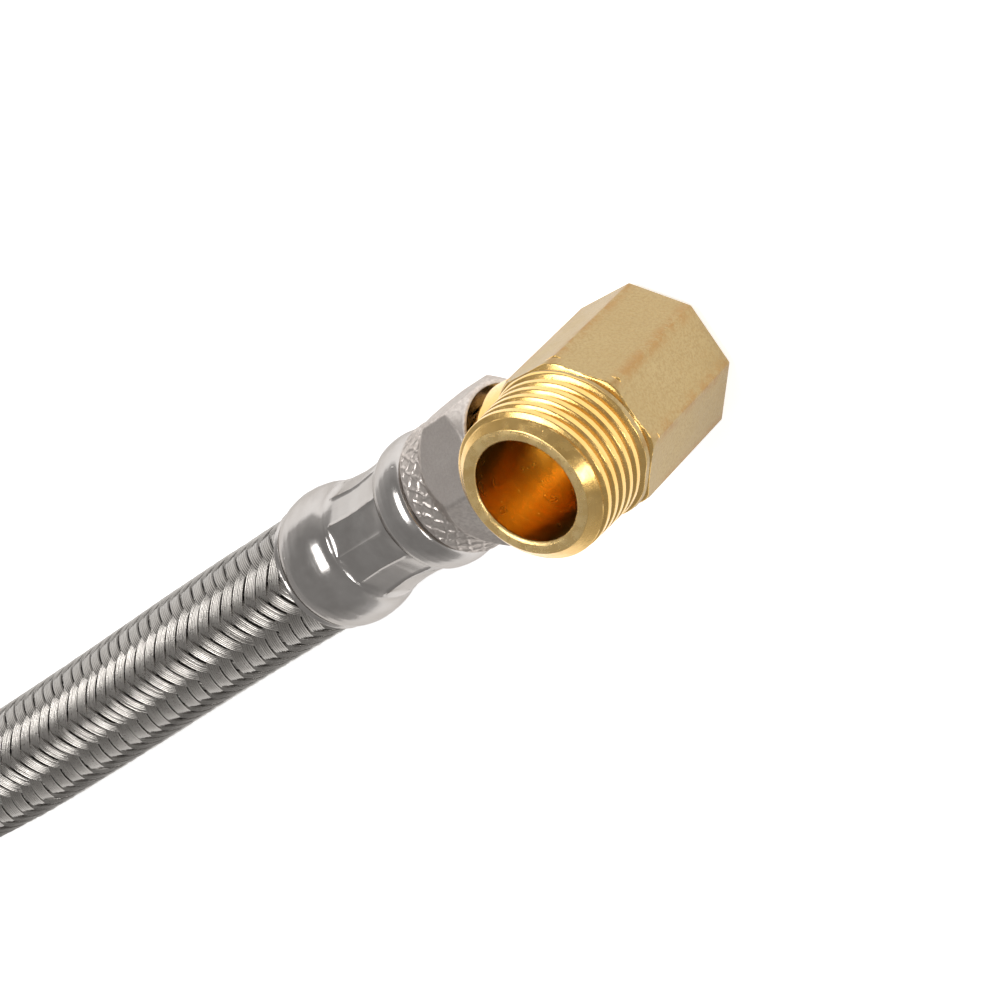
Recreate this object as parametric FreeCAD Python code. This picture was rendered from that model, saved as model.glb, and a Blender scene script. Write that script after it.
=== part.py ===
# Flexible gas connector: a braided hose whose swivel nut carries a brass 90 degree flare elbow.
#
# Frame, in millimetres: the origin is where the elbow's two port axes cross. +Z leaves through
# the pipe thread, -X runs along the flare port towards the hose. The part lies on a level surface:
# each nut stands on a corner of its hexagon, and the hose lies between them.
import FreeCAD, Part

import math
import os

Vector = FreeCAD.Vector
ORIGIN = Vector(0, 0, 0)
X_AXIS = Vector(1, 0, 0)
Y_AXIS = Vector(0, 1, 0)
Z_AXIS = Vector(0, 0, 1)

# ---- Driving dimensions -------------------------------------------------------------------

# Elbow block: an octagonal brass bar on the Z axis
BLOCK_FLATS = 21.8
BLOCK_TOP = 10.4
BLOCK_BOTTOM = -10.4

# Taper pipe thread, 1/2-14 NPT
PIPE_FACE = 24.4
PIPE_BORE_R = 7.15
PIPE_CREST_R = 10.38
PIPE_TAPER = 1 / 32
PIPE_PITCH = 25.4 / 14
PIPE_THREAD_DEPTH = 1.1
PIPE_LEAD = 1.7
PIPE_RIM_R = 8.75
PIPE_BORE_FLOOR = -4.2
DRILL_POINT = math.radians(59)

# Flare port, 5/8-18 UNF on the -X axis. Distances are measured from the origin. Its first thread
# is a full crest outside the nut, and the rest is drawn at its root
FLARE_SHOULDER_R = 8.85
FLARE_SHOULDER_END = 16.8
FLARE_SHOULDER_EDGE = 0.5
FLARE_THREAD_R = 7.94
FLARE_CORE_R = 6.8
FLARE_CREST_START = 17.9
FLARE_CREST_END = 18.4
THREAD_FLANK = math.radians(30)
FLARE_CONE_START = 22.4
FLARE_NOSE = 25.0
FLARE_NOSE_R = 4.2
FLARE_BORE_R = 3.6

# The flare joint is loose: the hose end leans in it about a point inside the nut
JOINT_PIVOT = 18.5
JOINT_LEAN = math.radians(3.9)

# Hose end fittings, alike at both ends. Distances run outwards from the ferrule's hose edge
PIVOT_FROM_EDGE = 42.5
NUT_REAR = 28.8
NUT_FRONT = 43.0
NUT_FLATS = 20.0
NUT_CORNER_R = 11.4
NUT_BAND_R = 9.5
NUT_BAND_END = 33.0
NUT_FULL_HEX = 36.1
NUT_CHAMFER = 40.8
NUT_FRONT_R = 9.8
NUT_THREAD_R = 7.35
NUT_THREAD_START = 36.8
NUT_RELIEF_R = 7.6
NUT_MOUTH_R = 9.4
NUT_REAR_HOLE_R = 6.2
NUT_SEAT = 34.0
NUT_TURN = math.radians(-1)

FERRULE_EDGE_R = 9.4
FERRULE_BEAD_R = 10.3
FERRULE_BEAD = 6.0
FERRULE_NECK_R = 8.15
FERRULE_NECK_START = 15.5
FERRULE_NECK_END = 23.2
COLLAR_R = 9.9
COLLAR_END = 28.2
COLLAR_EDGE_R = 9.0

CRIMP_START = 11.5
CRIMP_R = 7.3
SWELL_END = 7.5

STEM_BORE_R = 3.7
STEM_BARB_R = 5.2
STEM_GROOVE_R = 4.75
STEM_SHANK_R = 5.7
STEM_TIP = 3.0
STEM_SHOULDER = 20.0
STEM_HEAD_R = 7.0
STEM_HEAD_BACK = 33.75
STEM_HEAD_FRONT = 36.3
BARB_PITCH = 3.2
BARB_COUNT = 5

# Hose: a 1/2 inch liner under a woven steel braid
HOSE_R = 9.0
BRAID_THICKNESS = 0.6
LINER_BORE_R = 6.35

# ---- Worked out from them -----------------------------------------------------------------

SURFACE = -NUT_CORNER_R
LINER_R = HOSE_R - BRAID_THICKNESS
CRIMPED_LINER_R = CRIMP_R - BRAID_THICKNESS
HOSE_LIE = SURFACE + HOSE_R + 0.05

# Outlines of the hose's layers inside a ferrule, as (distance, radius)
liner_bore = [(0, LINER_BORE_R), (STEM_TIP, STEM_BARB_R), (STEM_SHOULDER, STEM_BARB_R)]
liner_outside = [
    (0, LINER_R), (SWELL_END, LINER_R), (CRIMP_START, CRIMPED_LINER_R), (STEM_SHOULDER, CRIMPED_LINER_R)]
hose_outside = [(0, HOSE_R), (SWELL_END, HOSE_R), (CRIMP_START, CRIMP_R), (STEM_SHOULDER, CRIMP_R)]

lean_axis = Vector(math.cos(JOINT_LEAN), math.sin(JOINT_LEAN), 0)
pivot = Vector(-JOINT_PIVOT, 0, 0)
hose_exit = pivot - lean_axis * PIVOT_FROM_EDGE

# The hose's route: corner points of its runs, from the near ferrule's edge to the far one's
FIRST_RUN = 24
route = [
    hose_exit,
    hose_exit - lean_axis * FIRST_RUN,
    Vector(-120, -8.1, HOSE_LIE),
    Vector(-155, -10.8, HOSE_LIE),
    Vector(-192, -10.0, HOSE_LIE),
    Vector(-232, -1.6, 0),
    Vector(-275, 15.4, 0),
]


# ---- Helpers ------------------------------------------------------------------------------

def line(a, b):
    return Part.LineSegment(a, b).toShape()


def arc(a, middle, b):
    return Part.Arc(a, middle, b).toShape()


def at(distance, radius):
    """A point of a profile that is turned about the X axis."""
    return Vector(distance, 0, radius)


def turned(edges):
    """A solid of revolution about the X axis, from a closed chain of edges."""
    face = Part.Face(Part.Wire(edges))
    return face.revolve(ORIGIN, X_AXIS, 360)


def turned_polygon(points):
    """A solid of revolution about the X axis, from (distance, radius) corners."""
    corners = [at(*point) for point in points]
    pairs = zip(corners, corners[1:] + corners[:1])
    return turned([line(a, b) for a, b in pairs])


def regular_prism(sides, flats, start, end, turn=0.0):
    """A prism along X with flats the given distance apart."""
    corner_r = flats / 2 / math.cos(math.pi / sides)
    corners = []
    for i in range(sides + 1):
        angle = turn + (i % sides + 0.5) * 2 * math.pi / sides
        corners.append(Vector(start, corner_r * math.cos(angle), corner_r * math.sin(angle)))
    return Part.Face(Part.makePolygon(corners)).extrude(X_AXIS * (end - start))


def onto(shape, origin, direction):
    """Carries a shape built along X to a new origin and direction."""
    placed = shape.copy()
    placed.Placement = FreeCAD.Placement(origin, FreeCAD.Rotation(X_AXIS, direction))
    return placed


def thread_rings(start, end, radius_at, pitch, depth):
    """V grooves cut round a shaft on X: the thread's form, as rings."""
    rings = []
    half = pitch * 0.42
    distance = start
    while distance + half < end:
        radius = radius_at(distance)
        rings.append(turned_polygon([
            (distance - half, radius + 0.3),
            (distance, radius - depth),
            (distance + half, radius + 0.3),
        ]))
        distance += pitch
    return rings


# ---- Elbow --------------------------------------------------------------------------------

def pipe_radius(distance):
    """Crest radius of the taper thread at a height above the origin."""
    return PIPE_CREST_R + (PIPE_FACE - distance) * PIPE_TAPER


def elbow_body():
    block = regular_prism(8, BLOCK_FLATS, BLOCK_BOTTOM, BLOCK_TOP)
    nipple = turned_polygon([
        (0, 0),
        (PIPE_FACE, 0),
        (PIPE_FACE, PIPE_RIM_R),
        (PIPE_FACE - PIPE_LEAD, pipe_radius(PIPE_FACE - PIPE_LEAD)),
        (BLOCK_TOP, pipe_radius(BLOCK_TOP)),
        (0, pipe_radius(BLOCK_TOP)),
    ])
    nipple = nipple.cut(thread_rings(
        BLOCK_TOP + PIPE_PITCH, PIPE_FACE - PIPE_LEAD, pipe_radius, PIPE_PITCH, PIPE_THREAD_DEPTH))
    drilled = turned_polygon([
        (PIPE_BORE_FLOOR - PIPE_BORE_R / math.tan(DRILL_POINT), 0),
        (PIPE_BORE_FLOOR, PIPE_BORE_R),
        (PIPE_FACE + 1, PIPE_BORE_R),
        (PIPE_FACE + 1, 0),
    ])
    flank = (FLARE_THREAD_R - FLARE_CORE_R) * math.tan(THREAD_FLANK)
    stub = turned_polygon([
        (0, 0),
        (0, FLARE_SHOULDER_R),
        (FLARE_SHOULDER_END - FLARE_SHOULDER_EDGE, FLARE_SHOULDER_R),
        (FLARE_SHOULDER_END, FLARE_SHOULDER_R - FLARE_SHOULDER_EDGE),
        (FLARE_SHOULDER_END, FLARE_CORE_R),
        (FLARE_CREST_START - flank, FLARE_CORE_R),
        (FLARE_CREST_START, FLARE_THREAD_R),
        (FLARE_CREST_END, FLARE_THREAD_R),
        (FLARE_CREST_END + flank, FLARE_CORE_R),
        (FLARE_CONE_START, FLARE_CORE_R),
        (FLARE_NOSE, FLARE_NOSE_R),
        (FLARE_NOSE, 0),
    ])
    cross_bore = Part.makeCylinder(FLARE_BORE_R, FLARE_NOSE + 1, ORIGIN, X_AXIS)
    upright = onto(block.fuse(nipple), ORIGIN, Z_AXIS)
    solid = upright.fuse(onto(stub, ORIGIN, -X_AXIS))
    solid = solid.cut([onto(drilled, ORIGIN, Z_AXIS), onto(cross_bore, ORIGIN, -X_AXIS)])
    return solid.removeSplitter()


# ---- Hose end fittings, built along X -----------------------------------------------------

def flare_nut():
    """Long hexagon nut with a round band at its rear and a wide countersunk mouth."""
    outside = turned_polygon([
        (NUT_REAR, 0),
        (NUT_REAR, NUT_BAND_R),
        (NUT_BAND_END, NUT_BAND_R),
        (NUT_FULL_HEX, NUT_CORNER_R),
        (NUT_CHAMFER, NUT_CORNER_R),
        (NUT_FRONT, NUT_FRONT_R),
        (NUT_FRONT, 0),
    ])
    hexagon = regular_prism(6, NUT_FLATS, NUT_REAR, NUT_FRONT, NUT_TURN)
    seat_depth = NUT_RELIEF_R - NUT_REAR_HOLE_R
    inside = turned_polygon([
        (NUT_REAR - 1, 0),
        (NUT_REAR - 1, NUT_REAR_HOLE_R),
        (NUT_SEAT - seat_depth, NUT_REAR_HOLE_R),
        (NUT_SEAT, NUT_RELIEF_R),
        (NUT_THREAD_START, NUT_RELIEF_R),
        (NUT_THREAD_START, NUT_THREAD_R),
        (NUT_FRONT - (NUT_MOUTH_R - NUT_THREAD_R), NUT_THREAD_R),
        (NUT_FRONT, NUT_MOUTH_R),
        (NUT_FRONT + 1, NUT_MOUTH_R),
        (NUT_FRONT + 1, 0),
    ])
    return outside.common(hexagon).cut(inside).removeSplitter()


def crimp_ferrule():
    """Sleeve crimped over the hose: a round bead, a narrow neck and a rolled collar."""
    bead_start = at(0, FERRULE_EDGE_R)
    bead_top = at(FERRULE_BEAD, FERRULE_BEAD_R)
    bead_end = at(2 * FERRULE_BEAD, FERRULE_EDGE_R)
    neck_start = at(FERRULE_NECK_START, FERRULE_NECK_R)
    neck_end = at(FERRULE_NECK_END, FERRULE_NECK_R)
    collar_start = at(FERRULE_NECK_END + 0.2, COLLAR_EDGE_R)
    collar_top = at((FERRULE_NECK_END + COLLAR_END) / 2, COLLAR_R)
    collar_end = at(COLLAR_END, COLLAR_EDGE_R)
    inner = [
        at(COLLAR_END, STEM_SHANK_R),
        at(STEM_SHOULDER, STEM_SHANK_R),
        at(STEM_SHOULDER, CRIMP_R),
        at(CRIMP_START, CRIMP_R),
        at(SWELL_END, HOSE_R),
        at(0, HOSE_R),
    ]
    edges = [
        arc(bead_start, bead_top, bead_end),
        line(bead_end, neck_start),
        line(neck_start, neck_end),
        line(neck_end, collar_start),
        arc(collar_start, collar_top, collar_end),
        line(collar_end, inner[0]),
    ]
    edges += [line(a, b) for a, b in zip(inner, inner[1:])]
    edges.append(line(inner[-1], bead_start))
    return turned(edges)


def hose_stem():
    """Tube with barbs inside the hose and a flared head that the nut pulls on."""
    barbs = []
    for i in range(BARB_COUNT):
        crest = STEM_TIP + 0.6 + i * BARB_PITCH
        barbs.append((crest, STEM_BARB_R))
        barbs.append((crest + 0.2, STEM_GROOVE_R))
        barbs.append((crest + BARB_PITCH - 0.6, STEM_BARB_R))
    head_rise = STEM_HEAD_R - STEM_SHANK_R
    return turned_polygon([
        (STEM_TIP, STEM_BORE_R),
        (STEM_TIP, STEM_BARB_R - 0.5),
        *barbs,
        (STEM_SHOULDER, STEM_BARB_R),
        (STEM_SHOULDER, STEM_SHANK_R),
        (STEM_HEAD_BACK - head_rise, STEM_SHANK_R),
        (STEM_HEAD_BACK, STEM_HEAD_R),
        (STEM_HEAD_FRONT, STEM_HEAD_R),
        (STEM_HEAD_FRONT, STEM_HEAD_R - 0.2),
        (STEM_HEAD_FRONT - (STEM_HEAD_R - 0.2 - STEM_BORE_R), STEM_BORE_R),
    ])


def crimped_tube(inner, outer):
    """The last stretch of a hose layer, squeezed between the stem and the ferrule."""
    return turned_polygon(inner + outer[::-1])


# ---- Hose ---------------------------------------------------------------------------------

def route_wire(points):
    """Straight runs joined by tangent arcs, each as large as its two runs allow."""
    edges = []
    last = points[0]
    for before, corner, after in zip(points, points[1:], points[2:]):
        inward = (corner - before).normalize()
        outward = (after - corner).normalize()
        turn = inward.getAngle(outward)
        reach = 0.45 * min((corner - before).Length, (after - corner).Length)
        radius = reach / math.tan(turn / 2)
        start = corner - inward * reach
        end = corner + outward * reach
        towards_centre = (outward - inward).normalize()
        middle = corner + towards_centre * (radius / math.cos(turn / 2) - radius)
        edges.append(line(last, start))
        edges.append(arc(start, middle, end))
        last = end
        print("bend of {:.1f} degrees, radius {:.0f} mm, {:.1f} diameters".format(
            math.degrees(turn), radius, radius / (2 * HOSE_R)))
    edges.append(line(last, points[-1]))
    return Part.Wire(edges)


def swept_rod(path, radius):
    direction = (route[1] - route[0]).normalize()
    section = Part.Wire([Part.Circle(route[0], direction, radius).toShape()])
    return path.makePipeShell([section], True, False)


def hose_layer(path, inner_r, outer_r, ends):
    """One layer of the hose: the swept tube joined to its two crimped ends."""
    tube = swept_rod(path, outer_r).cut(swept_rod(path, inner_r))
    expected = math.pi * (outer_r ** 2 - inner_r ** 2) * path.Length
    print("tube volume {:.1f} mm3, section times length {:.1f} mm3".format(tube.Volume, expected))
    return tube.fuse(ends).removeSplitter()


# ---- Assembly -----------------------------------------------------------------------------

def main():
    os.makedirs("parts", exist_ok=True)
    far_axis = (route[-1] - route[-2]).normalize()
    path = route_wire(route)
    print("exposed hose {:.1f} mm, nut face to nut face {:.1f} mm".format(
        path.Length, path.Length + 2 * NUT_FRONT))

    nut = flare_nut()
    ferrule = crimp_ferrule()
    stem = hose_stem()
    liner_end = crimped_tube(liner_bore, liner_outside)
    braid_end = crimped_tube(liner_outside, hose_outside)

    near = (hose_exit, lean_axis)
    far = (route[-1], far_axis)
    nodes = {
        "elbow_body": elbow_body(),
        "flare_nut": onto(nut, *near),
        "hose_stem": onto(stem, *near),
        "crimp_ferrule": onto(ferrule, *near),
        "hose_liner": hose_layer(
            path, LINER_BORE_R, LINER_R, [onto(liner_end, *near), onto(liner_end, *far)]),
        "hose_braid": hose_layer(
            path, LINER_R, HOSE_R, [onto(braid_end, *near), onto(braid_end, *far)]),
        "end_ferrule": onto(ferrule, *far),
        "end_stem": onto(stem, *far),
        "end_flare_nut": onto(nut, *far),
    }
    for name, shape in nodes.items():
        solids = shape.Solids
        print("{:14s} {} solid, {:8.1f} mm3, lowest {:.2f}, valid {}".format(
            name, len(solids), shape.Volume, shape.BoundBox.ZMin, shape.isValid()))
        shape.exportStep("parts/" + name + ".step")


main()
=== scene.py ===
import math

import bpy
import numpy as np
from mathutils import Matrix, Vector


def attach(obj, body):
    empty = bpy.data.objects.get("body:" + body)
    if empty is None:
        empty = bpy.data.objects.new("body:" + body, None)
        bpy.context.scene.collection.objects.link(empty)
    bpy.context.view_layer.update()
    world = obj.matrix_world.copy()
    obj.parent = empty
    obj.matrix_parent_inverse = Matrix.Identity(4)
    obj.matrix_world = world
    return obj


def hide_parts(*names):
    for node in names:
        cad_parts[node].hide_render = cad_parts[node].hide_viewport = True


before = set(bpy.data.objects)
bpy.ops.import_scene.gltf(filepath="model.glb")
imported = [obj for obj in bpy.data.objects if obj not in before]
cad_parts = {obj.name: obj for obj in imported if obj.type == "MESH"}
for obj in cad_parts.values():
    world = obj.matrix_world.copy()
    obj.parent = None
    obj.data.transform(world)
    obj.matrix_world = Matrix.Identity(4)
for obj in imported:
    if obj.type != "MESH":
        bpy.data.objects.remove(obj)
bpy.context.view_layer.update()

MM = 0.001
X_AXIS = Vector((1, 0, 0))

# ---- Sizes that the CAD also has, in millimetres --------------------------------------------

BLOCK_FLATS = 21.8
BLOCK_TOP = 10.4
BLOCK_BOTTOM = -10.4

PIPE_FACE = 24.4
PIPE_BORE_R = 7.15
PIPE_CREST_R = 10.38
PIPE_TAPER = 1 / 32
PIPE_PITCH = 25.4 / 14
PIPE_RIM_R = 8.75
PIPE_BORE_FLOOR = -4.2
DRILL_POINT = math.radians(59)

FLARE_SHOULDER_R = 8.85
FLARE_SHOULDER_END = 16.8
FLARE_SHOULDER_EDGE = 0.5
FLARE_THREAD_R = 7.94
FLARE_CORE_R = 6.8
FLARE_CREST_START = 17.9
FLARE_CREST_END = 18.4
FLARE_PITCH = 25.4 / 18
FLARE_CONE_START = 22.4
FLARE_NOSE = 25.0
FLARE_NOSE_R = 4.2
FLARE_BORE_R = 3.6

NUT_REAR = 28.8
NUT_FRONT = 43.0
NUT_FLATS = 20.0
NUT_CORNER_R = 11.4
NUT_BAND_R = 9.5
NUT_BAND_END = 33.0
NUT_CHAMFER = 40.8
NUT_FRONT_R = 9.8
NUT_THREAD_R = 7.35
NUT_THREAD_START = 36.8
NUT_RELIEF_R = 7.6
NUT_MOUTH_R = 9.4
NUT_REAR_HOLE_R = 6.2
NUT_SEAT = 34.0
NUT_TURN = math.radians(-1)

HOSE_R = 9.0
LINER_BORE_R = 6.35
CRIMP_R = 7.3
STEM_SHANK_R = 5.7
STEM_SHOULDER = 20.0
SWELL_END = 7.5
CRIMP_START = 11.5

# The hose end leans about a point on the flare port's axis, PIVOT_FROM_EDGE from the hose's exit
JOINT_PIVOT = 18.5
JOINT_LEAN = math.radians(3.9)
PIVOT_FROM_EDGE = 42.5
# Height of the hose's centre line where it lies just above the floor
HOSE_LIE = -NUT_CORNER_R + HOSE_R + 0.05
# From the hose's exit to its route's second control point
FIRST_RUN = 24

lean_axis = Vector((math.cos(JOINT_LEAN), math.sin(JOINT_LEAN), 0))
hose_exit = Vector((-JOINT_PIVOT, 0, 0)) - lean_axis * PIVOT_FROM_EDGE

# The hose's route: the control points of its centre line
route = [
    hose_exit,
    hose_exit - lean_axis * FIRST_RUN,
    Vector((-120, -8.1, HOSE_LIE)),
    Vector((-155, -10.8, HOSE_LIE)),
    Vector((-192, -10.0, HOSE_LIE)),
    Vector((-232, -1.6, 0)),
    Vector((-275, 15.4, 0)),
]
far_axis = (route[-1] - route[-2]).normalized()


# ---- Shapes ---------------------------------------------------------------------------------

def smooth_min(a, b, width):
    """The lesser of two surfaces, with the crease between them rounded over that width."""
    share = np.clip(0.5 + 0.5 * (b - a) / width, 0, 1)
    return b * (1 - share) + a * share - width * share * (1 - share)


def waves(u, v, seed, count=5, low=2, high=6):
    """A gentle irregular surface, from -1 to 1, that closes on itself round the angle u."""
    rng = np.random.default_rng(seed)
    total = 0
    for _ in range(count):
        turns = rng.integers(low, high)
        slope = rng.uniform(-high, high) * 0.5
        phase = rng.uniform(0, 2 * math.pi)
        total = total + np.sin(turns * u + slope * v + phase)
    return total / count


def rings(rows, columns, closed):
    """The quads between rows of points, where each row is a ring. A closed set also joins its ends."""
    row = np.arange(rows if closed else rows - 1)[:, None]
    column = np.arange(columns)[None, :]
    beside = (column + 1) % columns
    above = (row + 1) % rows
    corners = [row * columns + column, row * columns + beside,
               above * columns + beside, above * columns + column]
    return np.stack(corners, axis=-1).reshape(-1, 4)


def caps(total, columns):
    """The two faces that close the first and the last ring."""
    return [list(range(columns - 1, -1, -1)), list(range(total - columns, total))]


def piece(name, points, faces, materials, face_material=None, crease=35):
    """A mesh object from points in millimetres."""
    mesh = bpy.data.meshes.new(name)
    mesh.from_pydata((np.asarray(points) * MM).tolist(), [], [list(map(int, face)) for face in faces])
    for material in materials:
        mesh.materials.append(material)
    if face_material is not None:
        mesh.polygons.foreach_set("material_index", np.asarray(face_material, dtype=np.int32))
    mesh.shade_smooth()
    mesh.set_sharp_from_angle(angle=math.radians(crease))
    mesh.update()
    made = bpy.data.objects.new(name, mesh)
    bpy.context.scene.collection.objects.link(made)
    return made


def place(made, origin, direction):
    """Carries a piece built along X to its origin, in millimetres, and direction."""
    turn = X_AXIS.rotation_difference(direction).to_matrix().to_4x4()
    made.matrix_world = Matrix.Translation(origin * MM) @ turn


def boolean(target, tool, operation):
    """Joins the tool to the target, or cuts it out, and removes it."""
    modifier = target.modifiers.new(operation, "BOOLEAN")
    modifier.operation = operation
    modifier.solver = "EXACT"
    modifier.object = tool
    bpy.context.view_layer.update()
    graph = bpy.context.evaluated_depsgraph_get()
    mesh = bpy.data.meshes.new_from_object(target.evaluated_get(graph))
    target.modifiers.clear()
    target.data = mesh
    bpy.data.objects.remove(tool)


def about_x(distance, radius, angles):
    """Points round the X axis: rows of distances, and a radius for each row and angle."""
    radius = np.broadcast_to(radius, (len(distance), len(angles)))
    along = np.broadcast_to(np.asarray(distance)[:, None], radius.shape)
    points = np.stack([along, radius * np.cos(angles), radius * np.sin(angles)], axis=-1)
    return points.reshape(-1, 3)


def about_z(height, radius, angles):
    """Points round the Z axis, with a height and a radius for each angle."""
    points = np.stack([radius * np.cos(angles), radius * np.sin(angles), height], axis=-1)
    return points.reshape(-1, 3)


# ---- Materials ------------------------------------------------------------------------------

class Finish:
    """Builds one procedural material. Its colours are linear RGB."""

    def __init__(self, name, metallic, roughness, color, **constants):
        self.material = bpy.data.materials.new(name)
        self.material.use_nodes = True
        self.tree = self.material.node_tree
        self.shader = self.tree.nodes["Principled BSDF"]
        self.shader.inputs["Metallic"].default_value = metallic
        self.shader.inputs["Roughness"].default_value = roughness
        self.shader.inputs["Base Color"].default_value = (*color, 1)
        for socket, value in constants.items():
            self.shader.inputs[socket.replace("_", " ")].default_value = value
        self.where = self.node("ShaderNodeTexCoord").outputs["Object"]
        self.bumps = None

    def node(self, kind, **settings):
        """A new node, with its properties set."""
        made = self.tree.nodes.new(kind)
        for key, value in settings.items():
            setattr(made, key, value)
        return made

    def link(self, source, target):
        self.tree.links.new(source, target)

    def stretched(self, scale):
        """Object coordinates, scaled along each axis."""
        mapping = self.node("ShaderNodeMapping")
        mapping.inputs["Scale"].default_value = scale
        self.link(self.where, mapping.inputs["Vector"])
        return mapping.outputs["Vector"]

    def noise(self, scale, detail=4, roughness=0.6, stretch=(1, 1, 1), distortion=0):
        made = self.node("ShaderNodeTexNoise")
        made.inputs["Scale"].default_value = scale
        made.inputs["Detail"].default_value = detail
        made.inputs["Roughness"].default_value = roughness
        made.inputs["Distortion"].default_value = distortion
        self.link(self.stretched(stretch), made.inputs["Vector"])
        return made.outputs["Fac"]

    def along(self, axis):
        """Distance along one axis alone, for marks that a cutter leaves round a part."""
        parts = self.node("ShaderNodeSeparateXYZ")
        self.link(self.where, parts.inputs[0])
        return parts.outputs[axis]

    def from_z_axis(self):
        """Distance from the Z axis."""
        squares = [self.math("MULTIPLY", self.along(axis), self.along(axis)) for axis in "XY"]
        return self.math("SQRT", self.math("ADD", *squares), 0)

    def corner_distance(self):
        """Angle from the nearest corner of the octagonal block, as seen from its axis."""
        angle = self.math("ARCTAN2", self.along("Y"), self.along("X"))
        return self.math("PINGPONG", self.math("SUBTRACT", angle, math.pi / 8), math.pi / 8)

    def lines(self, distance, scale, detail=6):
        """Noise along one distance: fine lines, unevenly spaced."""
        made = self.node("ShaderNodeTexNoise", noise_dimensions="1D")
        made.inputs["Scale"].default_value = scale
        made.inputs["Detail"].default_value = detail
        made.inputs["Roughness"].default_value = 0.7
        self.link(distance, made.inputs["W"])
        return made.outputs["Fac"]

    def scatter(self, scale, low, high, stretch=(1, 1, 1)):
        """Small marks: 1 at scattered points and 0 elsewhere."""
        made = self.node("ShaderNodeTexVoronoi")
        made.inputs["Scale"].default_value = scale
        self.link(self.stretched(stretch), made.inputs["Vector"])
        return self.ranged(made.outputs["Distance"], low, high, 1, 0)

    def ranged(self, value, low, high, new_low, new_high):
        """A value eased from one range into another."""
        made = self.node("ShaderNodeMapRange", interpolation_type="SMOOTHSTEP")
        for socket, number in zip(("From Min", "From Max", "To Min", "To Max"),
                                  (low, high, new_low, new_high)):
            made.inputs[socket].default_value = number
        self.link(value, made.inputs["Value"])
        return made.outputs["Result"]

    def math(self, operation, a, b):
        made = self.node("ShaderNodeMath", operation=operation)
        for socket, value in zip(made.inputs, (a, b)):
            if isinstance(value, (int, float)):
                socket.default_value = value
            else:
                self.link(value, socket)
        return made.outputs[0]

    def colours(self, value, *stops):
        """A colour ramp, from (position, colour) stops."""
        ramp = self.node("ShaderNodeValToRGB")
        elements = ramp.color_ramp.elements
        while len(elements) < len(stops):
            elements.new(0.5)
        for element, (position, colour) in zip(elements, stops):
            element.position = position
            element.color = (*colour, 1)
        self.link(value, ramp.inputs["Fac"])
        return ramp.outputs["Color"]

    def blended(self, share, a, b, blend="MIX"):
        """Colour a changing into colour b. Either can be fixed."""
        mix = self.node("ShaderNodeMix", data_type="RGBA", blend_type=blend)
        for name, colour in (("A", a), ("B", b)):
            socket = [s for s in mix.inputs if s.name == name and s.type == "RGBA"][0]
            if isinstance(colour, tuple):
                socket.default_value = (*colour, 1)
            else:
                self.link(colour, socket)
        self.link(share, mix.inputs["Factor"])
        return [s for s in mix.outputs if s.type == "RGBA"][0]

    def bump(self, height, depth, strength=1.0):
        """Adds a height, in millimetres, on top of the bumps so far."""
        made = self.node("ShaderNodeBump")
        made.inputs["Strength"].default_value = strength
        made.inputs["Distance"].default_value = depth * MM
        self.link(height, made.inputs["Height"])
        if self.bumps:
            self.link(self.bumps, made.inputs["Normal"])
        self.bumps = made.outputs["Normal"]
        self.link(self.bumps, self.shader.inputs["Normal"])

    def set(self, socket, value):
        """Drives one socket of the shader."""
        self.link(value, self.shader.inputs[socket])


# The tint of steel seen at a glancing angle
STEEL_EDGE = (0.6, 0.58, 0.56, 1)


def block_brass():
    """Sand-grained forged brass, dull and pale, with browner blotches along the block's corners."""
    finish = Finish("brass_block", 1.0, 0.45, (0.50, 0.37, 0.18))
    cloud = finish.noise(160, 3)
    grain = finish.noise(2600, 3, 0.7)
    blotch = finish.ranged(finish.noise(520, 5, 0.75), 0.40, 0.60, 0.1, 1)
    fade = finish.ranged(finish.corner_distance(), 0.0, 0.15, 1, 0)
    outer = finish.ranged(finish.from_z_axis(), 10.6 * MM, 11.2 * MM, 0, 1)
    wear = finish.math("MULTIPLY", blotch, finish.math("MULTIPLY", fade, outer))
    base = finish.colours(cloud, (0.3, (0.385, 0.28, 0.13)), (0.7, (0.45, 0.338, 0.168)))
    base = finish.blended(finish.ranged(grain, 0.36, 0.60, 0.6, 0), base, (0.34, 0.23, 0.10))
    base = finish.blended(finish.math("MULTIPLY", wear, 0.75), base, (0.36, 0.20, 0.07))
    finish.set("Base Color", base)
    finish.set("Roughness", finish.ranged(cloud, 0.3, 0.7, 0.38, 0.48))
    finish.bump(finish.noise(800, 4, 0.6), 0.06)
    finish.bump(grain, 0.06)
    finish.bump(finish.scatter(600, 0.03, 0.12), 0.04)
    return finish.material


def turned_brass():
    """Freshly cut brass: bright, with tool lines round it."""
    finish = Finish("brass_turned", 1.0, 0.2, (0.80, 0.58, 0.25))
    fine = finish.lines(finish.along("Z"), 5200)
    cloud = finish.noise(260, 4)
    base = finish.colours(cloud, (0.3, (0.75, 0.465, 0.142)), (0.7, (0.84, 0.56, 0.21)))
    finish.set("Base Color", base)
    finish.set("Roughness", finish.ranged(finish.noise(700, 4), 0.3, 0.7, 0.18, 0.30))
    finish.bump(fine, 0.008)
    finish.bump(finish.noise(1500, 3), 0.008)
    finish.bump(finish.scatter(420, 0.02, 0.08), 0.015)
    return finish.material


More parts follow.
